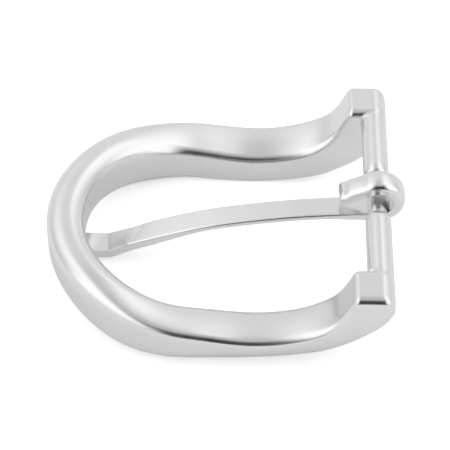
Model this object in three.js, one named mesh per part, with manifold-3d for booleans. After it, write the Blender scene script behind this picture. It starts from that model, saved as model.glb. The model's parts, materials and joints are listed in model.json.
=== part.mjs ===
// A prong belt buckle for a 35 mm dress belt, in millimetres.
// +X points out past the cross bar, so the closed end of the hoop is at -X, +Y runs along the bar, and
// +Z is the back of the buckle, the side towards the wearer. The shapes are drawn round the centre of the
// bar, and the whole buckle is then moved to stand on z = 0 with its box centred on the origin.
import * as THREE from 'three';
import { ParametricGeometry } from 'three/addons/geometries/ParametricGeometry.js';
import { mergeVertices } from 'three/addons/utils/BufferGeometryUtils.js';
import Module from 'manifold-3d';

// Centre of the bar in the finished part
const BAR_X = 24.45;
const BAR_Z = 13.816;

// Cross bar
const BELT_WIDTH = 35; // clear width between the lugs
const BAR_RADIUS = 2.1;
const NECK_RADIUS = 1.45; // the waist in the bar that the prong is curled round
const NECK_HALF_LENGTH = 4.4;
const SHOULDER_LENGTH = 2; // rounded step from the neck up to the bar
const SHOULDER_RISE = 0.3; // most of the step is climbed in this length
const BAR_OVERLAP = 2; // how far the bar runs on inside each lug
const BAR_INSET = 0.02; // the bar is this much thinner than the lugs' rounded ends, which it runs into

// Hoop, rails and lugs, in plan
const OUTER_HALF_WIDTH = 24.8;
const RAIL_WIDTH = 7.85;
const LUG_WIDTH = 7;
const BEND_START = -29.25; // where the straight rails turn into the half-ellipse of the hoop
const BEND_DEPTH = 21.05; // from there to the middle of the hoop's section at the crown
const CROWN_WIDTH = 6.1;
const WIDEN_FROM = -49; // the section widens from the crown's width here
const WIDEN_TO = -20; // to the rails' width here
const LUG_CORNER = 1.2; // rounding of the lugs' end corners in plan, along X
const LUG_CORNER_ACROSS = 0.96; // and along Y
const LUG_END = 0.995; // the last ring of a lug is at this share of the bar's radius
const LUG_END_HEIGHT = 0.4; // least height of a section, at that end

// Cross-section of the frame. Its four corners are the outer back, inner back, inner front and outer front.
const BACK_SLOPE = 0.85; // the back face of a rail is this much lower at its inner edge
const BACK_SLOPE_TO = -12; // it starts at the lug's foot and is complete here
const CORNER_RADII = [1.2, 1.2, 0.6, 4.85];
const MAX_CUT = 0.48; // two roundings on one side leave a little of it between them
const CORNER_LIMITS = [MAX_CUT, MAX_CUT, MAX_CUT, 0.78]; // a rounding takes at most this share of a side
const RAIL_CROWN = 0.4; // how much the back of a rail swells between its edges
const RAIL_CROWN_RANGE = [-5, -13]; // where the swelling grows
const BEND_CROWN = 0.35; // further swelling in the bend
const BEND_CROWN_RANGE = [-26, -42];
const TUBE_FROM = [-36, -30, -17, -17]; // where each corner starts to soften into the round crown
const TUBE_TO = [-50, -46, -44, -44];
const TUBE_ACROSS = [0.47, 0.47, 0.2, 0.2]; // the share of the width that it takes there
const TUBE_UPRIGHT = [0.3, 0.3, 0.2, 0.2]; // and of the height
const LUG_START = -4.4; // back face of a lug, at its foot
const LUG_BLEND = -10; // a rail narrows from here to the lug

// Prong
const PRONG_WIDTH = 4.2;
const CURL_CENTRE = new THREE.Vector2(0.25, 0.3);
const CURL_RADIUS = 2.25; // inside of the curl
const CURL_LEAVES_AT = 2.15; // angle round the curl, in radians, where its free end straightens
const CURL_THICKNESS = 1.95;
const SHANK_THICKNESS = 1.5;
const TIP_THICKNESS = 1.6;
const TIP_X = -50.4;
const TIP_Z = -11.45; // back face of the tip, a little in front of the hoop
const BACK_BEVEL = 0.15;
const SHANK_ROUNDING = 1; // of the front edges
const TIP_ROUNDING = 0.3;

// Resolution
const LUG_STATIONS = 20;
const BEND_STATIONS = 30;
const PRONG_STATIONS = 80;
const ARC_STEPS = 4;
const ROUND_PULL = 0.5523; // makes a Bezier curve a quarter circle

const wasm = await Module();
wasm.setup();

// The back of the frame in side view (x, z), from the bar round the lug and along the rail to the crown.
function backLine() {
  const line = new THREE.Path();
  line.moveTo(BAR_RADIUS + 1, BAR_RADIUS);
  line.lineTo(-3.5, BAR_RADIUS);
  line.quadraticCurveTo(-4.12, BAR_RADIUS, LUG_START, 1.45);
  line.splineThru([
    new THREE.Vector2(-5.5, -1.15),
    new THREE.Vector2(-7, -3.5),
    new THREE.Vector2(-9.5, -5.4),
    new THREE.Vector2(-13.5, -6.9),
    new THREE.Vector2(-20, -7.7),
    new THREE.Vector2(-28, -6.75),
    new THREE.Vector2(-37, -5.45),
    new THREE.Vector2(-45, -3.45),
    new THREE.Vector2(-53.5, -2.7),
  ]);
  return line;
}

// The front of the frame in side view, along its inner edge.
function frontLine() {
  const line = new THREE.Path();
  line.moveTo(BAR_RADIUS + 1, -0.4);
  line.splineThru([
    new THREE.Vector2(1.8, -4.6),
    new THREE.Vector2(-1.4, -8.2),
    new THREE.Vector2(-6, -11.25),
    new THREE.Vector2(-12, -12.95),
    new THREE.Vector2(-20, -13.8),
    new THREE.Vector2(-29, -13.55),
    new THREE.Vector2(-40, -12.85),
    new THREE.Vector2(-53, -9.25),
  ]);
  return line;
}

// Height of a side-view line at x. Both lines run steadily towards -X.
function heightReader(line) {
  const points = line.getSpacedPoints(400);
  return (x) => {
    const next = Math.max(1, points.findIndex((point) => point.x <= x));
    const [from, to] = points.slice(next - 1);
    return THREE.MathUtils.mapLinear(x, from.x, to.x, from.y, to.y);
  };
}

const backHeight = heightReader(backLine());
const frontHeight = heightReader(frontLine());

// How far something has grown at x that starts at one x and is complete at another, nearer to the crown.
function grows(x, from, to) {
  return THREE.MathUtils.smoothstep(-x, -from, -to);
}

// A four-cornered section as a closed ring of 2D points. The share of each side that a rounding takes is
// given by cutShare(index, side, length), where side 0 is the one before the corner and side 1 the one after.
function roundedSection(corners, cutShare) {
  const ring = [];
  corners.forEach((corner, index) => {
    const before = corners[(index + 3) % 4];
    const after = corners[(index + 1) % 4];
    const start = corner.clone().lerp(before, cutShare(index, 0, corner.distanceTo(before)));
    const end = corner.clone().lerp(after, cutShare(index, 1, corner.distanceTo(after)));
    const pullStart = start.clone().lerp(corner, ROUND_PULL);
    const pullEnd = end.clone().lerp(corner, ROUND_PULL);
    ring.push(...new THREE.CubicBezierCurve(start, pullStart, pullEnd, end).getPoints(ARC_STEPS));
  });
  return ring;
}

// Swells the back of a section, between its first two corners, into a shallow arch.
function swollen(section, swell, width) {
  const arc = ARC_STEPS + 1;
  const top = section[arc - 1].clone().lerp(section[arc], 0.5);
  const ring = [...section.slice(0, arc), top, ...section.slice(arc)];
  for (const point of ring.slice(0, 2 * arc + 1)) {
    point.y += swell * (1 - (2 * point.x / width) ** 2);
  }
  return ring;
}

// One ring of the frame's skin. Outward is the plan direction from the inner to the outer edge.
function frameRing(inner, outer) {
  const middle = inner.clone().lerp(outer, 0.5);
  const softness = TUBE_FROM.map((from, index) => grows(middle.x, from, TUBE_TO[index]));
  const outward = outer.clone().sub(inner);
  const width = outward.length();
  outward.normalize();
  const overhang = Math.max(0, middle.x);
  const endHeight = Math.sqrt(Math.max(0, BAR_RADIUS ** 2 - overhang ** 2));
  const back = Math.min(backHeight(middle.x), endHeight);
  const front = Math.min(frontHeight(middle.x), back - LUG_END_HEIGHT);
  const slopeShare = grows(middle.x, LUG_START, BACK_SLOPE_TO) * (1 - softness[1]);
  const corners = [
    new THREE.Vector2(width / 2, back),
    new THREE.Vector2(-width / 2, back - BACK_SLOPE * slopeShare),
    new THREE.Vector2(-width / 2, front),
    new THREE.Vector2(width / 2, front),
  ];
  const cutShare = (index, side, length) => {
    const shares = (index + side) % 2 === 0 ? TUBE_UPRIGHT : TUBE_ACROSS;
    const crisp = Math.min(CORNER_LIMITS[index], CORNER_RADII[index] / length);
    return THREE.MathUtils.lerp(crisp, shares[index], softness[index]);
  };
  const swell = RAIL_CROWN * grows(middle.x, ...RAIL_CROWN_RANGE)
    + BEND_CROWN * grows(middle.x, ...BEND_CROWN_RANGE);
  return swollen(roundedSection(corners, cutShare), swell * (1 - softness[0]), width).map(
    (point) => new THREE.Vector3(middle.x + outward.x * point.x, middle.y + outward.y * point.x, point.y),
  );
}

const RAIL_MIDDLE = OUTER_HALF_WIDTH - RAIL_WIDTH / 2;

function halfWidth(x) {
  const widened = THREE.MathUtils.smoothstep(x, WIDEN_FROM, WIDEN_TO);
  return THREE.MathUtils.lerp(CROWN_WIDTH, RAIL_WIDTH, widened) / 2;
}

// Rings along the straight rail and lug on the +Y side, from the lug's rounded end to the bend.
function railRings() {
  const rings = [];
  for (let step = 0; step < LUG_STATIONS; step += 1) {
    const share = step / LUG_STATIONS;
    const x = BAR_RADIUS * LUG_END - (BAR_RADIUS - BEND_START) * share ** 2;
    const intoLug = THREE.MathUtils.smoothstep(x, LUG_BLEND, LUG_START);
    const inner = THREE.MathUtils.lerp(RAIL_MIDDLE - halfWidth(x), BELT_WIDTH / 2, intoLug);
    const outer = THREE.MathUtils.lerp(RAIL_MIDDLE + halfWidth(x), BELT_WIDTH / 2 + LUG_WIDTH, intoLug);
    const intoCorner = Math.max(0, x - (BAR_RADIUS - LUG_CORNER)) / LUG_CORNER;
    const rounding = LUG_CORNER_ACROSS * (1 - Math.sqrt(Math.max(0, 1 - intoCorner ** 2)));
    rings.push(frameRing(new THREE.Vector2(x, inner), new THREE.Vector2(x, outer - rounding)));
  }
  return rings;
}

// Rings round the hoop, from the end of one rail over the crown to the end of the other.
function bendRings() {
  const bend = new THREE.EllipseCurve(
    BEND_START, 0, BEND_DEPTH, RAIL_MIDDLE, Math.PI / 2, Math.PI * 1.5, false, 0,
  );
  const rings = [];
  for (let step = 0; step <= BEND_STATIONS; step += 1) {
    const middle = bend.getPoint(step / BEND_STATIONS);
    const tangent = bend.getTangent(step / BEND_STATIONS);
    const outward = new THREE.Vector2(tangent.y, -tangent.x);
    const inner = middle.clone().addScaledVector(outward, -halfWidth(middle.x));
    const outer = middle.clone().addScaledVector(outward, halfWidth(middle.x));
    rings.push(frameRing(inner, outer));
  }
  return rings;
}

// A closed skin over a row of rings, drawn to a point in the middle of each end.
function skin(rings) {
  const drawnIn = (ring) => {
    const centre = ring.reduce((sum, point) => sum.add(point), new THREE.Vector3()).divideScalar(ring.length);
    return ring.map(() => centre);
  };
  const rows = [drawnIn(rings[0]), ...rings, drawnIn(rings[rings.length - 1])];
  const around = rings[0].length;
  const surface = (u, v, target) => {
    const row = rows[Math.round(v * (rows.length - 1))];
    target.copy(row[Math.round((1 - u) * around) % around]);
  };
  return new ParametricGeometry(surface, around, rows.length - 1);
}

// The geometry as a manifold solid: shared corners merged, and triangles that closed up left out.
function solid(geometry) {
  const bare = geometry.clone();
  bare.deleteAttribute('normal');
  bare.deleteAttribute('uv');
  const merged = mergeVertices(bare, 1e-4);
  const kept = [];
  for (let start = 0; start < merged.index.count; start += 3) {
    const [a, b, c] = [0, 1, 2].map((offset) => merged.index.getX(start + offset));
    if (a !== b && b !== c && c !== a) kept.push(a, b, c);
  }
  const vertProperties = new Float32Array(merged.attributes.position.array);
  return new wasm.Manifold(new wasm.Mesh({ numProp: 3, vertProperties, triVerts: new Uint32Array(kept) }));
}

function namedMesh(manifold, name, material) {
  const { vertProperties, triVerts } = manifold.getMesh();
  const geometry = new THREE.BufferGeometry();
  geometry.setAttribute('position', new THREE.BufferAttribute(vertProperties, 3));
  geometry.setIndex(new THREE.BufferAttribute(triVerts, 1));
  geometry.computeVertexNormals();
  const mesh = new THREE.Mesh(geometry, material);
  mesh.name = name;
  return mesh;
}

// The bar, turned about Y, with its neck between two rounded shoulders.
function barGeometry() {
  const end = BELT_WIDTH / 2 + BAR_OVERLAP;
  const radius = BAR_RADIUS - BAR_INSET;
  const risen = NECK_HALF_LENGTH + SHOULDER_RISE;
  const shoulder = NECK_HALF_LENGTH + SHOULDER_LENGTH;
  const profile = new THREE.Path();
  profile.moveTo(0, -end);
  profile.lineTo(radius, -end);
  profile.lineTo(radius, -shoulder);
  profile.quadraticCurveTo(BAR_RADIUS, -risen, NECK_RADIUS, -NECK_HALF_LENGTH);
  profile.lineTo(NECK_RADIUS, NECK_HALF_LENGTH);
  profile.quadraticCurveTo(BAR_RADIUS, risen, radius, shoulder);
  profile.lineTo(radius, end);
  profile.lineTo(0, end);
  return new THREE.LatheGeometry(profile.getPoints(6), 40);
}

// Hoop, rails, lugs and bar: one casting.
function frame() {
  const side = railRings();
  const mirrored = side.map((ring) => ring.map((point) => new THREE.Vector3(point.x, -point.y, point.z)));
  const hoop = solid(skin([...side, ...bendRings(), ...mirrored.reverse()]));
  const nickel = new THREE.MeshStandardMaterial({ color: 0xc8c8c8, roughness: 0.28, metalness: 1 });
  return namedMesh(hoop.add(solid(barGeometry())), 'frame', nickel);
}

// The back face of the prong in side view (x, z): tip, two bends, arched shank, then round the neck.
function prongLine() {
  const line = new THREE.Path();
  line.moveTo(TIP_X, TIP_Z);
  line.lineTo(-43.7, TIP_Z);
  line.lineTo(-40.2, -9.87);
  line.splineThru([
    new THREE.Vector2(-34, -7.4),
    new THREE.Vector2(-26, -5),
    new THREE.Vector2(-15.5, -3.1),
    new THREE.Vector2(-7, -2.2),
    new THREE.Vector2(CURL_CENTRE.x, CURL_CENTRE.y - CURL_RADIUS),
  ]);
  line.absarc(CURL_CENTRE.x, CURL_CENTRE.y, CURL_RADIUS, -Math.PI / 2, CURL_LEAVES_AT, false);
  line.bezierCurveTo(-2, 1.53, -4.3, 0.4, -6.15, -0.15);
  return line;
}

// One ring of the prong's skin: flat back, and a front that is rounded along the shank and curl.
function prongRing(point, tangent) {
  const towardsFront = new THREE.Vector2(tangent.y, -tangent.x);
  const curled = THREE.MathUtils.smoothstep(point.x, -9, -2) + (point.y > -1 ? 1 : 0);
  const atTip = 1 - THREE.MathUtils.smoothstep(point.x, -38, -26);
  const shank = THREE.MathUtils.lerp(SHANK_THICKNESS, CURL_THICKNESS, Math.min(1, curled));
  const thickness = THREE.MathUtils.lerp(shank, TIP_THICKNESS, atTip);
  const frontRadius = THREE.MathUtils.lerp(SHANK_ROUNDING, TIP_ROUNDING, atTip);
  const half = PRONG_WIDTH / 2;
  const corners = [
    new THREE.Vector2(-half, 0),
    new THREE.Vector2(half, 0),
    new THREE.Vector2(half, thickness),
    new THREE.Vector2(-half, thickness),
  ];
  const radii = [BACK_BEVEL, BACK_BEVEL, frontRadius, frontRadius];
  return roundedSection(corners, (index, side, length) => Math.min(MAX_CUT, radii[index] / length)).map(
    (corner) => new THREE.Vector3(
      point.x + towardsFront.x * corner.y,
      corner.x,
      point.y + towardsFront.y * corner.y,
    ),
  );
}

function prong() {
  const line = prongLine();
  const rings = [];
  for (let step = 0; step <= PRONG_STATIONS; step += 1) {
    const share = step / PRONG_STATIONS;
    rings.push(prongRing(line.getPointAt(share), line.getTangentAt(share)));
  }
  const brightNickel = new THREE.MeshStandardMaterial({ color: 0xd0d0d0, roughness: 0.18, metalness: 1 });
  return namedMesh(solid(skin(rings)), 'prong', brightNickel);
}

const group = new THREE.Group();
group.add(frame(), prong());
group.position.set(BAR_X, 0, BAR_Z);

export default group;
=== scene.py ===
"""A prong belt buckle lying face down on a pale floor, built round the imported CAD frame."""
import json
import math

import bmesh
import bpy
import numpy as np
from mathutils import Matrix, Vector


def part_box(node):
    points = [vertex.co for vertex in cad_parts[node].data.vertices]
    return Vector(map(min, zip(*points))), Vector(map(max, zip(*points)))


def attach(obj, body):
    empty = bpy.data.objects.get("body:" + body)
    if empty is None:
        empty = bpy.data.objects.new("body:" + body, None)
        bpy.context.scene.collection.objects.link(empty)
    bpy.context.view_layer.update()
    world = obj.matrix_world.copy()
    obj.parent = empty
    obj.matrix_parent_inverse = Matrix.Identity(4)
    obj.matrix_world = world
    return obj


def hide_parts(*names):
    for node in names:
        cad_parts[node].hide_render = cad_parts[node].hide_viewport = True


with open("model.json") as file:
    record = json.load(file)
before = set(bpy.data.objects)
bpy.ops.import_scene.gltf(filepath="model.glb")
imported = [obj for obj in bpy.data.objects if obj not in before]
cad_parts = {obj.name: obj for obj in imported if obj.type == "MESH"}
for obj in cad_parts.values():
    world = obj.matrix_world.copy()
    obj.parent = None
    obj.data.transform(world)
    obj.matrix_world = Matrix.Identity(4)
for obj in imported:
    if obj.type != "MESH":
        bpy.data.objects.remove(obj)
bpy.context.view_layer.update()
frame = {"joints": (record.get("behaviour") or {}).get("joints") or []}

MM = 0.001
BAR_CENTRE = np.array(frame["joints"][0]["pos_m"]) / MM
frame_low, frame_high = (np.array(corner) / MM - BAR_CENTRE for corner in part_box("frame"))
prong_low, prong_high = (np.array(corner) / MM - BAR_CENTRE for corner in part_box("prong"))

# Everything below is in millimetres from the centre of the cross bar: +X points out past the bar,
# +Y along it, and +Z is the back of the buckle.
OUTER_HALF_WIDTH = frame_high[1]
CROWN_X = frame_low[0]
BAR_RADIUS = frame_high[2]
FLOOR_Z = frame_low[2]

# Cross bar
LUG_INNER_Y = 17.5  # half the clear width for the strap
NECK_RADIUS = 1.45
NECK_HALF_LENGTH = 4.4
SHOULDER_LENGTH = 2.0  # rounded step from the neck up to the bar
SHOULDER_RISE = 0.3  # most of the step is climbed in this length
BAR_GAP = 0.025  # the bar's skin lies this much inside the rounded ends of the lugs
BAR_OVERLAP = 1.5  # how far the bar runs on inside each lug
CAST_FILLET = 0.45  # fillet between bar and lug
FILLET_BITE = 0.02  # the fillet reaches this far into the lug
FLARE_GROWS = (15.0, 55.0)  # degrees round the bar from its back, where the fillet grows
FLARE_FADES = (215.0, 262.0)  # and where it fades out again

# Hoop in plan
RAIL_WIDTH = 7.85
LUG_WIDTH = 7.0
CROWN_WIDTH = 6.1
BEND_START = -29.25
WIDEN_FROM, WIDEN_TO = -49.0, -20.0
LUG_CORNER = 1.5  # rounding of the lugs' end corners in plan, along X
LUG_CORNER_ACROSS = 1.2  # and along Y
LUG_END_HEIGHT = 0.4  # least height of a section, at a lug's rounded end
LUG_EDGE_REACH = 0.6  # the steepness of a lug's face counts up to this far past its foot
LUG_EDGE_FROM = -3.2  # the flat back of a lug ends here
LUG_FOOT_Z = 1.3  # height of the back line at the lug's foot
LUG_START, LUG_BLEND = -4.4, -10.0  # a rail narrows from the second to the first, which is the lug's foot

# Section of the hoop: its four corners are the outer back, inner back, inner front and outer front
BACK_SLOPE = 0.85  # the inner edge of a rail's back lies this much lower than the outer edge
BACK_SLOPE_TO = -12.0  # it starts at the lug's foot and is complete here
CORNER_RADII = (1.2, 1.2, 0.6, 4.85)
CORNER_LIMITS = (0.48, 0.48, 0.48, 0.78)  # a rounding takes at most this share of a side
RAIL_CROWN = 0.4  # how much the back of a rail swells between its edges
RAIL_CROWN_RANGE = (-5.0, -13.0)  # where the swelling grows
BEND_CROWN = 0.35  # further swelling in the bend
BEND_CROWN_RANGE = (-26.0, -42.0)
TUBE_FROM = (-36.0, -30.0, -17.0, -17.0)  # where each corner starts to soften into the round crown
TUBE_TO = (-50.0, -46.0, -44.0, -44.0)
TUBE_ACROSS = (0.47, 0.47, 0.2, 0.2)  # share of the width and of the height that it takes there
TUBE_UPRIGHT = (0.3, 0.3, 0.2, 0.2)

# Prong
PRONG_HALF_WIDTH = prong_high[1]
CURL_CENTRE = np.array((0.25, 0.3))
CURL_RADIUS = 2.25
CURL_THICKNESS = 1.95
CURLED_RANGE = (-9.0, -2.0)  # the shank takes on the curl's section between these
SHANK_CEILING = -1.0  # the whole shank lies below this height, and the curl's free end above it
CURL_LEAVES_AT = 2.15  # angle round the curl, in radians, where its free end straightens
FREE_END = (-6.15, -0.15)
FREE_END_PULL = (1.85, 0.55)  # direction in which the free end arrives, and how straight
LEAVING_PULL = 1.2  # how straight it leaves the curl
SHANK_THICKNESS = 1.5
TIP_THICKNESS = 1.6
TIP_Z = -11.45
FIRST_BEND = (-43.7, TIP_Z)  # the back of the tip bends up here
SECOND_BEND = (-40.2, -9.87)  # and a little less steeply from here
GROOVE_DEPTH = 0.1  # the press mark along the second bend
GROOVE_REACH = 0.2  # from its middle to either side, along X
GROOVE_SHARE = 0.3  # it fades out within this share of the thickness
TIP_RANGE = (-26.0, -38.0)  # it takes on the tip's section between these
SHANK_ROUNDING, CURL_ROUNDING, TIP_ROUNDING = 1.2, 0.95, 0.25  # of the front edges
SHANK_BEVEL, CURL_BEVEL, TIP_BEVEL = 0.32, 0.15, 0.1  # of the back edges
TIP_BEVEL_REACH = 0.4  # the bevel changes this far to either side of the first bend
END_SOFTNESS = 0.12  # rounding of the rims of both ends
CURL_CROWN = 0.22  # how much the curl's outer face is rounded across
END_FROM = -3.5  # the cut of the free end shapes the strip from here on
NOTCH_DEPTH = 0.35  # hollow in the cut end of the curl
CUT_LEAN = 0.8  # the cut stands this much further back at the outer face than square across the strip
BEND_SKEW = (-0.2, 0.36)  # how far each bend runs off square, at the far edge
SKEW_FADES = (-47.0, -36.0)  # where the skew has died out, on either side of the bends
MAX_CUT_ACROSS, MAX_CUT_UPRIGHT = 0.46, 0.7  # a front rounding takes at most this share of a side

# Metal
CLOUDS_PER_MM, GRAINS_PER_MM, SCRATCHES_PER_MM = 0.22, 9.0, 4.5
NOISE_RANGE = (0.3, 0.7)  # the part of a noise's values that is spread over the whole effect
SCRATCH_RANGE = (0.62, 0.7)  # only the peaks of the noise become scratches
EDGE_RANGE = (0.5, 0.56)  # pointiness from flat to edge

# Faces that meet at more than this many degrees stay sharp
CAST_SHARP, STRIP_SHARP = 40.0, 14.0

# Camera
AZIMUTH, ELEVATION = 1.247, 45.854  # degrees
DISTANCE = 311.8
TARGET = (-24.385, -0.957, -6.0)
SENSOR, LENS = 36.0, 153.5

# Floor
FLOOR_HALF_SIDE = 1500.0
FLOOR_SHADE = 0.92

# Light tent, as brightness
SIDE_LIGHT = 1.3
HORIZON_LIGHT = 0.72
FAR_GAP_LIGHT = 0.85
HIGH_GAP_LIGHT = 0.62
NEAR_GAP_LIGHT = 0.04  # the dark opening under the camera, low down
FLOOR_GLOW = 0.06  # how much lighter the floor is than its shading makes it, in the metal
FLOOR_LIFT = 0.4  # and to the camera, besides
GAP_TURN = 2.0  # degrees the gap is turned away from the line of sight

# Where the tent's light changes, as parts of a direction of length 1
FAR_RISE = (0.15, 0.9)  # upwards, from the horizon's light to the sides'
NEAR_RISE = (-0.1, 0.4)
FAR_GAP_RISE = (0.4, 0.72)  # away from the camera, from the gap's light overhead to the far one
NEAR_GAP_RISE = (0.6, 1.0)  # upwards, from the dark opening to the light overhead
FAR_LEFT_EDGE = (0.05, 0.6)  # sideways, from the gap to the sides
FAR_RIGHT_EDGE = (0.08, 0.35)
NEAR_EDGE = (0.22, 0.52)
OVERHEAD = (-0.15, 0.15)  # away from the camera, from the near half to the far one

# Mesh density
ARC_STEPS = 10
SIDE_STEPS = 12
CURVE_STEPS = 24
BEND_STATIONS = 150
FINE_STEP, FINE_TO = 0.16, -14.0  # spacing of the rings round a lug, as far as here
COARSE_STATIONS = 44
BAR_SEGMENTS = 96
FILLET_STEPS = 8
ROUND_PULL = 0.5523  # makes a Bezier curve a quarter circle


def smoothstep(value, low, high):
    share = np.clip((np.asarray(value, float) - low) / (high - low), 0.0, 1.0)
    return share * share * (3.0 - 2.0 * share)


def mix(start, end, share):
    return start + (end - start) * share


def grows(x, start, end):
    """How far something has grown at x that starts at one x and is complete at another, nearer the crown."""
    return smoothstep(-x, -start, -end)


def bezier(points, steps):
    """Points along a quadratic or cubic Bezier curve, without its first point."""
    control = np.array(points, float)
    shares = np.linspace(0.0, 1.0, steps + 1)[1:, None]
    degree = len(control) - 1
    weights = [math.comb(degree, k) * shares ** k * (1.0 - shares) ** (degree - k)
               for k in range(degree + 1)]
    return sum(weight * point for weight, point in zip(weights, control))


def spline(points, steps):
    """Points along a Catmull-Rom curve through the given points, without the first."""
    knots = np.array(points, float)
    padded = np.vstack([knots[:1], knots, knots[-1:]])
    shares = np.linspace(0.0, 1.0, steps + 1)[1:, None]
    pieces = []
    for before, start, end, after in zip(padded, padded[1:], padded[2:], padded[3:]):
        leave, arrive = (end - before) / 2.0, (after - start) / 2.0
        cube = 2.0 * (start - end) + leave + arrive
        square = 3.0 * (end - start) - 2.0 * leave - arrive
        pieces.append(cube * shares ** 3 + square * shares ** 2 + leave * shares + start)
    return np.vstack(pieces)


def even_curve(points, start_slope, steps):
    """Points along a curve through the given points whose bend never jumps, without the first."""
    x, z = np.array(points, float).T
    gap = np.diff(x)
    rise = np.diff(z) / gap
    system, wanted = np.eye(len(x)), np.full(len(x), float(start_slope))
    for row in range(1, len(x) - 1):
        system[row, row - 1:row + 2] = gap[row], 2.0 * (gap[row - 1] + gap[row]), gap[row - 1]
        wanted[row] = 3.0 * (gap[row] * rise[row - 1] + gap[row - 1] * rise[row])
    system[-1, -2:] = 1.0, 2.0
    wanted[-1] = 3.0 * rise[-1]
    slopes = np.linalg.solve(system, wanted)
    leave = np.column_stack([gap, slopes[:-1] * gap]) / 3.0
    arrive = np.column_stack([gap, slopes[1:] * gap]) / 3.0
    knots = np.column_stack([x, z])
    return np.vstack([bezier([start, start + pull_out, end - pull_in, end], steps)
                      for start, end, pull_out, pull_in in zip(knots, knots[1:], leave, arrive)])


def back_line():
    """The back of the frame in side view (x, z), from the lug's rounded end to the crown."""
    end_angles = np.linspace(0.07, math.pi / 2.0, 24)
    rounded_end = BAR_RADIUS * np.column_stack([np.cos(end_angles), np.sin(end_angles)])
    lug_top = np.column_stack([np.linspace(-0.2, LUG_EDGE_FROM, 14), np.full(14, BAR_RADIUS)])
    lug_foot = (LUG_START, LUG_FOOT_Z)
    lug_edge = bezier([(LUG_EDGE_FROM, BAR_RADIUS), (-4.04, BAR_RADIUS), lug_foot], 14)
    face_end, face_pull = np.array((-9.5, -5.4)), np.array((-6.3, -3.75))
    lug_face = bezier([lug_foot, (-5.55, -1.25), face_pull, face_end], 50)
    leave_x, leave_z = face_end - face_pull
    rail = even_curve([
        face_end, (-13.5, -6.9), (-20, -7.7), (-28, -6.75), (-37, -5.45), (-45, -3.45), (-53.5, -2.7),
    ], leave_z / leave_x, CURVE_STEPS)
    return np.vstack([rounded_end, lug_top, lug_edge, lug_face, rail])


def front_line():
    """The front of the frame in side view, along its inner edge."""
    return spline([
        (BAR_RADIUS + 1.0, -0.4), (1.8, -4.6), (-1.4, -8.2), (-6.0, -11.25), (-12.0, -12.95),
        (-20.0, -13.8), (-29.0, -13.55), (-40.0, -12.85), (-53.0, -9.25),
    ], CURVE_STEPS)


BACK, FRONT = back_line(), front_line()


def height(line, x):
    """Height of a side-view line at x. The lines run towards -X."""
    return np.interp(-np.asarray(x), -line[:, 0], line[:, 1])


def slope(line, x):
    step = 0.05
    return (height(line, x + step) - height(line, x - step)) / (2.0 * step)


def ring_points(corners, cuts):
    """Closed rings round four corners: corners (n, 4, 2), and cuts (n, 4, 2), the share of the side before
    and of the side after that each corner's rounding takes."""
    rows = []
    starts, ends = [], []
    for index in range(4):
        corner = corners[:, index]
        before, after = corners[:, (index + 3) % 4], corners[:, (index + 1) % 4]
        starts.append(corner + (before - corner) * cuts[:, index, :1])
        ends.append(corner + (after - corner) * cuts[:, index, 1:])
    for index in range(4):
        corner, start, end = corners[:, index], starts[index], ends[index]
        pull_start, pull_end = mix(start, corner, ROUND_PULL), mix(end, corner, ROUND_PULL)
        for share in np.linspace(0.0, 1.0, ARC_STEPS + 1):
            rest = 1.0 - share
            rows.append(rest ** 3 * start + 3 * rest ** 2 * share * pull_start
                        + 3 * rest * share ** 2 * pull_end + share ** 3 * end)
        next_start = starts[(index + 1) % 4]
        for share in np.linspace(0.0, 1.0, SIDE_STEPS + 1)[1:-1]:
            rows.append(mix(end, next_start, share))
    return np.stack(rows, axis=1)


def crown(rings, corner, swell, width):
    """Swells the face between a corner and the next one into a shallow arch."""
    start = corner * (ARC_STEPS + SIDE_STEPS)
    face = rings[:, start:start + 2 * ARC_STEPS + SIDE_STEPS + 1]
    face[..., 1] += swell[:, None] * (1.0 - (2.0 * face[..., 0] / width[:, None]) ** 2)


def frame_rings(inner, outer):
    """Rings of the frame's skin between inner and outer edge points in plan."""
    middle = (inner + outer) / 2.0
    across = outer - inner
    width = np.linalg.norm(across, axis=1)
    across /= width[:, None]
    x = middle[:, 0]
    tube = [grows(x, start, end) for start, end in zip(TUBE_FROM, TUBE_TO)]
    back = height(BACK, x)
    front = np.minimum(height(FRONT, x), back - LUG_END_HEIGHT)
    dip = BACK_SLOPE * grows(x, LUG_START, BACK_SLOPE_TO) * (1.0 - tube[1])
    corners = np.stack([
        np.column_stack([width / 2, back]),
        np.column_stack([-width / 2, back - dip]),
        np.column_stack([-width / 2, front]),
        np.column_stack([width / 2, front]),
    ], axis=1)
    sides = np.linalg.norm(np.roll(corners, -1, axis=1) - corners, axis=2)
    steepness = np.hypot(1.0, slope(BACK, np.minimum(x, LUG_START + LUG_EDGE_REACH)))
    cuts = np.zeros((len(x), 4, 2))
    for index in range(4):
        side_lengths = (sides[:, (index + 3) % 4], sides[:, index])
        for end, length in enumerate(side_lengths):
            upright = (index + end) % 2 == 0
            stretch = mix(steepness, 1.0, tube[index]) if upright and index < 2 else 1.0
            radius = CORNER_RADII[index] * stretch
            share = np.minimum(CORNER_LIMITS[index], radius / length)
            cuts[:, index, end] = mix(share, (TUBE_UPRIGHT if upright else TUBE_ACROSS)[index], tube[index])
    flat = ring_points(corners, cuts)
    swell = RAIL_CROWN * grows(x, *RAIL_CROWN_RANGE) + BEND_CROWN * grows(x, *BEND_CROWN_RANGE)
    crown(flat, 0, swell * (1.0 - tube[0]), width)
    x_out = middle[:, None, 0] + across[:, None, 0] * flat[..., 0]
    y_out = middle[:, None, 1] + across[:, None, 1] * flat[..., 0]
    return np.stack([x_out, y_out, flat[..., 1]], axis=-1)


def half_width(x):
    """Half the width of the hoop's section, before a rail narrows to its lug."""
    return mix(CROWN_WIDTH, RAIL_WIDTH, smoothstep(x, WIDEN_FROM, WIDEN_TO)) / 2.0


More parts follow.
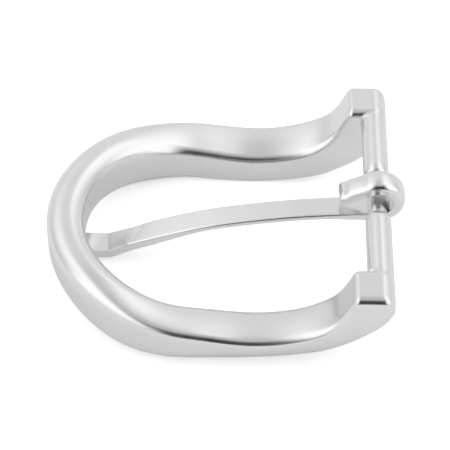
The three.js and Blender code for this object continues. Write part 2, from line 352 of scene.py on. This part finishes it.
def rail_stations():
    """Places along X for the rings of a rail, evenly spaced along its back line."""
    line = BACK[BACK[:, 0] > BEND_START]
    run = np.concatenate([[0.0], np.cumsum(np.linalg.norm(np.diff(line, axis=0), axis=1))])
    fine_end = np.interp(-FINE_TO, -line[:, 0], run)
    fine = np.arange(0.0, fine_end, FINE_STEP)
    coarse = np.linspace(fine_end, run[-1], COARSE_STATIONS)
    return np.interp(np.concatenate([fine, coarse]), run, line[:, 0])


def rail_rings():
    """Rings along the +Y lug and rail, from the lug's rounded end to the bend."""
    x = rail_stations()
    into_lug = smoothstep(x, LUG_BLEND, LUG_START)
    middle = OUTER_HALF_WIDTH - RAIL_WIDTH / 2.0
    inner = mix(middle - half_width(x), LUG_INNER_Y, into_lug)
    outer = mix(middle + half_width(x), LUG_INNER_Y + LUG_WIDTH, into_lug)
    into_corner = np.maximum(0.0, x - (BAR_RADIUS - LUG_CORNER)) / LUG_CORNER
    rounding = LUG_CORNER_ACROSS * (1.0 - np.sqrt(np.maximum(0.0, 1.0 - into_corner ** 2)))
    return frame_rings(np.column_stack([x, inner]), np.column_stack([x, outer - rounding]))


def bend_rings():
    """Rings round the half-ellipse of the hoop, over the crown."""
    depth = BEND_START - CROWN_X - CROWN_WIDTH / 2.0
    reach = OUTER_HALF_WIDTH - RAIL_WIDTH / 2.0
    angle = np.linspace(0.0, math.pi, BEND_STATIONS + 1)
    middle = np.column_stack([BEND_START - depth * np.sin(angle), reach * np.cos(angle)])
    across = np.column_stack([-reach * np.sin(angle), depth * np.cos(angle)])
    across /= np.linalg.norm(across, axis=1)[:, None]
    half = half_width(middle[:, 0])[:, None]
    return frame_rings(middle - across * half, middle + across * half)


def loft(name, rings):
    """A closed mesh over rings (n, around, 3) in millimetres, with a flat cap at each end."""
    count, around = rings.shape[:2]
    vertices = (rings.reshape(-1, 3) + BAR_CENTRE) * MM
    faces = []
    for row in range(count - 1):
        for column in range(around):
            following = (column + 1) % around
            faces.append((row * around + column, row * around + following,
                          (row + 1) * around + following, (row + 1) * around + column))
    faces.append(tuple(range(around))[::-1])
    faces.append(tuple((count - 1) * around + column for column in range(around)))
    mesh = bpy.data.meshes.new(name)
    mesh.from_pydata(vertices.tolist(), [], faces)
    mesh.update()
    piece = bpy.data.objects.new(name, mesh)
    bpy.context.scene.collection.objects.link(piece)
    return piece


def face_outwards(mesh):
    """Turns the whole mesh inside out if its volume comes out negative."""
    work = bmesh.new()
    work.from_mesh(mesh)
    if work.calc_volume(signed=True) < 0.0:
        bmesh.ops.reverse_faces(work, faces=work.faces)
    work.to_mesh(mesh)
    work.free()


def bar_rings():
    """The cross bar with its neck, and a cast fillet that flares it into the lugs except where it is
    flush with them: on top and round the outer end."""
    inside = LUG_INNER_Y + FILLET_BITE
    shoulder_end = NECK_HALF_LENGTH + SHOULDER_LENGTH
    fillet_angles = np.linspace(0.0, math.pi / 2.0, FILLET_STEPS + 1)
    fillet_y = inside - CAST_FILLET * (1.0 - np.sin(fillet_angles))
    fillet_out = CAST_FILLET * (1.0 - np.cos(fillet_angles))
    shoulder = bezier([
        (NECK_HALF_LENGTH, NECK_RADIUS), (NECK_HALF_LENGTH + SHOULDER_RISE, BAR_RADIUS),
        (shoulder_end, BAR_RADIUS),
    ], 18)
    neck = np.column_stack([np.linspace(0.0, NECK_HALF_LENGTH, 8), np.full(8, NECK_RADIUS)])
    bar_y = np.linspace(shoulder_end, inside - CAST_FILLET, 12)[1:-1]
    bar = np.column_stack([bar_y, np.full(len(bar_y), BAR_RADIUS)])
    flare = np.column_stack([fillet_y, np.full(FILLET_STEPS + 1, BAR_RADIUS), fillet_out])
    plain = np.vstack([neck, shoulder, bar])
    profile = np.vstack([np.column_stack([plain, np.zeros(len(plain))]), flare,
                         [inside + BAR_OVERLAP, BAR_RADIUS, 0.0]])
    profile[:, 1] -= BAR_GAP * smoothstep(profile[:, 0], NECK_HALF_LENGTH, shoulder_end)
    mirrored = profile[:0:-1] * (-1.0, 1.0, 1.0)
    profile = np.vstack([mirrored, profile])
    angle = np.linspace(0.0, 2.0 * math.pi, BAR_SEGMENTS, endpoint=False)
    turned = np.degrees(angle)
    flared = smoothstep(turned, *FLARE_GROWS) * (1.0 - smoothstep(turned, *FLARE_FADES))
    radius = profile[:, 1, None] + profile[:, 2, None] * flared[None, :]
    x = -radius * np.sin(angle)
    z = radius * np.cos(angle)
    y = np.repeat(profile[:, :1], BAR_SEGMENTS, axis=1)
    return np.stack([x, y, z], axis=-1)


def union(name, first, second):
    """One closed mesh from two overlapping ones."""
    cut = first.modifiers.new("join", "BOOLEAN")
    cut.operation = "UNION"
    cut.solver = "EXACT"
    cut.object = second
    graph = bpy.context.evaluated_depsgraph_get()
    mesh = bpy.data.meshes.new_from_object(first.evaluated_get(graph))
    mesh.name = name
    for part in (first, second):
        bpy.data.objects.remove(part)
    piece = bpy.data.objects.new(name, mesh)
    bpy.context.scene.collection.objects.link(piece)
    return piece


def smooth(piece, sharp_above):
    """Shades smoothly, with sharp edges only where faces meet at more than the given angle."""
    piece.data.shade_smooth()
    piece.data.set_sharp_from_angle(angle=math.radians(sharp_above))


def cast_frame():
    """Hoop, rails, lugs and bar as one closed mesh."""
    side = rail_rings()
    mirrored = side[::-1] * (1.0, -1.0, 1.0)
    rings = np.concatenate([side[:-1], bend_rings(), mirrored[1:]])
    hoop = loft("hoop", rings)
    face_outwards(hoop.data)
    bar = loft("bar", bar_rings())
    face_outwards(bar.data)
    piece = union("cast_frame", hoop, bar)
    smooth(piece, CAST_SHARP)
    return piece


def soft_ends(rings, radius):
    """Rounds off the rims of both end caps."""
    def rim(end, before):
        middle = end.mean(axis=0)
        inward = middle - end
        inward /= np.linalg.norm(inward, axis=1)[:, None]
        outward = (end - before) / np.linalg.norm(end - before, axis=1)[:, None]
        angles = np.linspace(0.0, math.pi / 2.0, 5)
        return [end + radius * (inward * (1.0 - math.cos(turn)) + outward * (math.sin(turn) - 1.0))
                for turn in angles]

    first, last = rim(rings[0], rings[1]), rim(rings[-1], rings[-2])
    return np.stack(first[::-1] + list(rings[1:-1]) + last)


def prong_line():
    """The back face of the prong in side view (x, z), from the tip along the shank and round the neck."""
    first, second = np.array(FIRST_BEND), np.array(SECOND_BEND)
    rise = (second - first) / (second - first)[0]
    tip = [(prong_low[0], TIP_Z), first]
    incline = [first, second - rise * GROOVE_REACH]
    shank_start = second + rise * GROOVE_REACH
    shank = spline([shank_start, (-34, -7.4), (-26, -5), (-15.5, -3.1), (-7, -2.2),
                    tuple(CURL_CENTRE - (0.0, CURL_RADIUS))], CURVE_STEPS)
    sweep = np.linspace(-math.pi / 2.0, CURL_LEAVES_AT, 60)[1:]
    curl = CURL_CENTRE + CURL_RADIUS * np.column_stack([np.cos(sweep), np.sin(sweep)])
    leave = np.array((-math.sin(CURL_LEAVES_AT), math.cos(CURL_LEAVES_AT)))
    free_end = bezier([
        curl[-1], curl[-1] + LEAVING_PULL * leave, np.add(FREE_END, FREE_END_PULL), FREE_END,
    ], 30)
    straight = [np.linspace(start, end, 14)[:-1] for start, end in (tip, incline)]
    return np.vstack([*straight, [incline[1], second, shank_start], shank, curl, free_end])


def prong_rings():
    """Rings of the prong's skin: a flat back and a front that is rounded along the shank and the curl."""
    line = prong_line()
    tangent = np.gradient(line, axis=0)
    tangent /= np.linalg.norm(tangent, axis=1)[:, None]
    towards_front = np.column_stack([tangent[:, 1], -tangent[:, 0]])
    x, z = line.T
    above_shank = z > SHANK_CEILING
    curled = np.minimum(1.0, smoothstep(x, *CURLED_RANGE) + above_shank)
    at_tip = grows(x, *TIP_RANGE)
    before_bend = grows(x, FIRST_BEND[0] + TIP_BEVEL_REACH, FIRST_BEND[0] - TIP_BEVEL_REACH)
    thickness = mix(mix(SHANK_THICKNESS, CURL_THICKNESS, curled), TIP_THICKNESS, at_tip)
    front_radius = mix(mix(SHANK_ROUNDING, CURL_ROUNDING, curled), TIP_ROUNDING, at_tip)
    back_radius = mix(mix(SHANK_BEVEL, CURL_BEVEL, curled), TIP_BEVEL, before_bend)
    half = np.full(len(x), PRONG_HALF_WIDTH)
    swell = CURL_CROWN * curled
    corners = np.stack([
        np.column_stack([-half, 0 * half]),
        np.column_stack([half, 0 * half]),
        np.column_stack([half, thickness - swell]),
        np.column_stack([-half, thickness - swell]),
    ], axis=1)
    cuts = np.zeros((len(x), 4, 2))
    cuts[:, :2] = (back_radius / (2.0 * half))[:, None, None]
    cuts[:, 2:] = np.minimum(MAX_CUT_ACROSS, front_radius / (2.0 * half))[:, None, None]
    for index, end in ((0, 0), (1, 1)):
        cuts[:, index, end] = back_radius / thickness
    for index, end in ((2, 0), (3, 1)):
        cuts[:, index, end] = np.minimum(MAX_CUT_UPRIGHT, front_radius / thickness)
    flat = ring_points(corners, cuts)
    crown(flat, 2, swell, 2.0 * half)
    across = flat[..., 0] / PRONG_HALF_WIDTH
    near_end = grows(x, END_FROM, FREE_END[0]) * above_shank
    bends = (SKEW_FADES[0], FIRST_BEND[0], SECOND_BEND[0], SKEW_FADES[1])
    skew = np.interp(x, bends, (0.0, *BEND_SKEW, 0.0))
    out = flat[..., 1] / thickness[:, None]
    cut = NOTCH_DEPTH * (1.0 - np.abs(across)) + CUT_LEAN * out
    slide = near_end[:, None] * cut + skew[:, None] * across
    groove = GROOVE_DEPTH * np.maximum(0.0, 1.0 - np.abs(x - SECOND_BEND[0]) / GROOVE_REACH)
    flat[..., 1] += groove[:, None] * (1.0 - smoothstep(out, 0.0, GROOVE_SHARE))
    x_out = line[:, None, 0] + towards_front[:, None, 0] * flat[..., 1] + slide
    z_out = line[:, None, 1] + towards_front[:, None, 1] * flat[..., 1]
    return soft_ends(np.stack([x_out, flat[..., 0], z_out], axis=-1), END_SOFTNESS)


def bent_prong():
    piece = loft("bent_prong", prong_rings())
    face_outwards(piece.data)
    smooth(piece, STRIP_SHARP)
    return piece


def nickel(name, brightness, roughness, scratches):
    """Plated metal with a cloudy polish, fine grain, lengthwise scratches, and edges rubbed brighter."""
    material = bpy.data.materials.new(name)
    material.use_nodes = True
    nodes, links = material.node_tree.nodes, material.node_tree.links
    shader = nodes["Principled BSDF"]
    shader.inputs["Metallic"].default_value = 1.0
    place = nodes.new("ShaderNodeTexCoord").outputs["Object"]

    def noise(per_mm, stretch, detail):
        mapping = nodes.new("ShaderNodeMapping")
        mapping.inputs["Scale"].default_value = (stretch, 1.0, 1.0)
        texture = nodes.new("ShaderNodeTexNoise")
        texture.inputs["Scale"].default_value = per_mm / MM
        texture.inputs["Detail"].default_value = detail
        links.new(place, mapping.inputs["Vector"])
        links.new(mapping.outputs["Vector"], texture.inputs["Vector"])
        return texture.outputs["Fac"]

    def spread(value, low, high, start, end):
        node = nodes.new("ShaderNodeMapRange")
        links.new(value, node.inputs["Value"])
        for name, setting in zip(("From Min", "From Max", "To Min", "To Max"), (low, high, start, end)):
            node.inputs[name].default_value = setting
        return node.outputs["Result"]

    def add(first, second):
        node = nodes.new("ShaderNodeMath")
        links.new(first, node.inputs[0])
        links.new(second, node.inputs[1])
        return node.outputs[0]

    cloud = noise(CLOUDS_PER_MM, 1.0, 3.0)
    grain = noise(GRAINS_PER_MM, 0.3, 4.0)
    scratch = noise(SCRATCHES_PER_MM, 0.03, 1.0)
    edge = nodes.new("ShaderNodeNewGeometry").outputs["Pointiness"]
    polish = spread(cloud, *NOISE_RANGE, roughness - 0.03, roughness + 0.04)
    rub = spread(edge, *EDGE_RANGE, 0.0, -0.05)
    scored = spread(scratch, *SCRATCH_RANGE, 0.0, scratches)
    texture = spread(grain, *NOISE_RANGE, -0.02, 0.02)
    links.new(add(add(polish, rub), add(scored, texture)), shader.inputs["Roughness"])
    clouded = spread(cloud, *NOISE_RANGE, brightness - 0.012, brightness + 0.012)
    links.new(add(clouded, spread(edge, *EDGE_RANGE, 0.0, 0.04)), shader.inputs["Base Color"])
    bump = nodes.new("ShaderNodeBump")
    bump.inputs["Strength"].default_value = 0.12
    bump.inputs["Distance"].default_value = 0.01 * MM
    links.new(add(grain, spread(scratch, *SCRATCH_RANGE, 0.0, -1.5)), bump.inputs["Height"])
    links.new(bump.outputs["Normal"], shader.inputs["Normal"])
    return material


def floor():
    """A plain pale floor, a little lighter to the eye than in the metal's reflections."""
    mesh = bpy.data.meshes.new("floor")
    side, z = FLOOR_HALF_SIDE * MM, (FLOOR_Z + BAR_CENTRE[2]) * MM
    corners = [(-side, -side, z), (side, -side, z), (side, side, z), (-side, side, z)]
    mesh.from_pydata(corners, [], [(0, 1, 2, 3)])
    plane = bpy.data.objects.new("floor", mesh)
    bpy.context.scene.collection.objects.link(plane)
    material = bpy.data.materials.new("pale_floor")
    material.use_nodes = True
    nodes, links = material.node_tree.nodes, material.node_tree.links
    shader = nodes["Principled BSDF"]
    shader.inputs["Base Color"].default_value = (FLOOR_SHADE, FLOOR_SHADE, FLOOR_SHADE, 1.0)
    shader.inputs["Roughness"].default_value = 0.9
    shader.inputs["Specular IOR Level"].default_value = 0.2
    shader.inputs["Emission Color"].default_value = (1.0, 1.0, 1.0, 1.0)
    seen = nodes.new("ShaderNodeMath")
    seen.operation = "MULTIPLY_ADD"
    seen.inputs[1].default_value = FLOOR_LIFT
    seen.inputs[2].default_value = FLOOR_GLOW
    links.new(nodes.new("ShaderNodeLightPath").outputs["Is Camera Ray"], seen.inputs[0])
    links.new(seen.outputs[0], shader.inputs["Emission Strength"])
    mesh.materials.append(material)


def camera():
    """The camera, aimed at the middle of the buckle from above its near side."""
    azimuth, elevation = math.radians(AZIMUTH), math.radians(ELEVATION)
    back = Vector((math.sin(azimuth) * math.cos(elevation), -math.cos(azimuth) * math.cos(elevation),
                   math.sin(elevation)))
    data = bpy.data.cameras.new("camera")
    data.sensor_width = SENSOR
    data.lens = LENS
    data.clip_start = 0.01
    eye = bpy.data.objects.new("camera", data)
    bpy.context.scene.collection.objects.link(eye)
    eye.location = (Vector(TARGET) + back * DISTANCE + Vector(BAR_CENTRE)) * MM
    eye.rotation_euler = back.to_track_quat("Z", "Y").to_euler()
    bpy.context.scene.camera = eye


def studio():
    """A light tent in the background: bright on both sides, with a greyer gap between them that runs over
    the top from the far side and turns into a dark opening low on the near side, under the camera."""
    world = bpy.data.worlds.new("studio")
    bpy.context.scene.world = world
    world.use_nodes = True
    nodes, links = world.node_tree.nodes, world.node_tree.links
    direction = nodes.new("ShaderNodeTexCoord").outputs["Generated"]

    def ramp(value, low, high, start, end):
        """Goes smoothly from start to end, each a number or a socket, as value goes from low to high."""
        node = nodes.new("ShaderNodeMapRange")
        node.interpolation_type = "SMOOTHSTEP"
        links.new(value, node.inputs["Value"])
        node.inputs["From Min"].default_value = low
        node.inputs["From Max"].default_value = high
        for name, setting in (("To Min", start), ("To Max", end)):
            if isinstance(setting, float):
                node.inputs[name].default_value = setting
            else:
                links.new(setting, node.inputs[name])
        return node.outputs["Result"]

    def maths(operation, first, second):
        node = nodes.new("ShaderNodeMath")
        node.operation = operation
        links.new(first, node.inputs[0])
        if isinstance(second, float):
            node.inputs[1].default_value = second
        else:
            links.new(second, node.inputs[1])
        return node.outputs[0]

    split = nodes.new("ShaderNodeSeparateXYZ")
    links.new(direction, split.inputs[0])
    up, away = split.outputs["Z"], split.outputs["Y"]
    sideways = nodes.new("ShaderNodeVectorMath")
    sideways.operation = "DOT_PRODUCT"
    turn = math.radians(GAP_TURN)
    sideways.inputs[1].default_value = (math.cos(turn), math.sin(turn), 0.0)
    links.new(direction, sideways.inputs[0])
    right = sideways.outputs["Value"]
    left = maths("MULTIPLY", right, -1.0)
    off_gap = maths("MAXIMUM", left, right)

    far_side = ramp(up, *FAR_RISE, HORIZON_LIGHT, SIDE_LIGHT)
    far_gap = ramp(away, *FAR_GAP_RISE, HIGH_GAP_LIGHT, FAR_GAP_LIGHT)
    far_left = ramp(left, *FAR_LEFT_EDGE, far_gap, far_side)
    far_right = ramp(right, *FAR_RIGHT_EDGE, far_gap, far_side)
    near_side = ramp(up, *NEAR_RISE, HORIZON_LIGHT, SIDE_LIGHT)
    near_gap = ramp(up, *NEAR_GAP_RISE, NEAR_GAP_LIGHT, HIGH_GAP_LIGHT)
    near = ramp(off_gap, *NEAR_EDGE, near_gap, near_side)
    light = ramp(away, *OVERHEAD, near, maths("MAXIMUM", far_left, far_right))
    links.new(light, nodes["Background"].inputs["Strength"])
    nodes["Background"].inputs["Color"].default_value = (1.0, 1.0, 1.0, 1.0)
    bpy.context.scene.view_settings.view_transform = "Standard"


buckle = cast_frame()
buckle.data.materials.append(nickel("satin_nickel", 0.77, 0.22, 0.02))
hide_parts("frame")
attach(buckle, "frame")

prong = bent_prong()
prong.data.materials.append(nickel("bright_nickel", 0.77, 0.15, 0.08))
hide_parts("prong")
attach(prong, "prong")

floor()
studio()
camera()
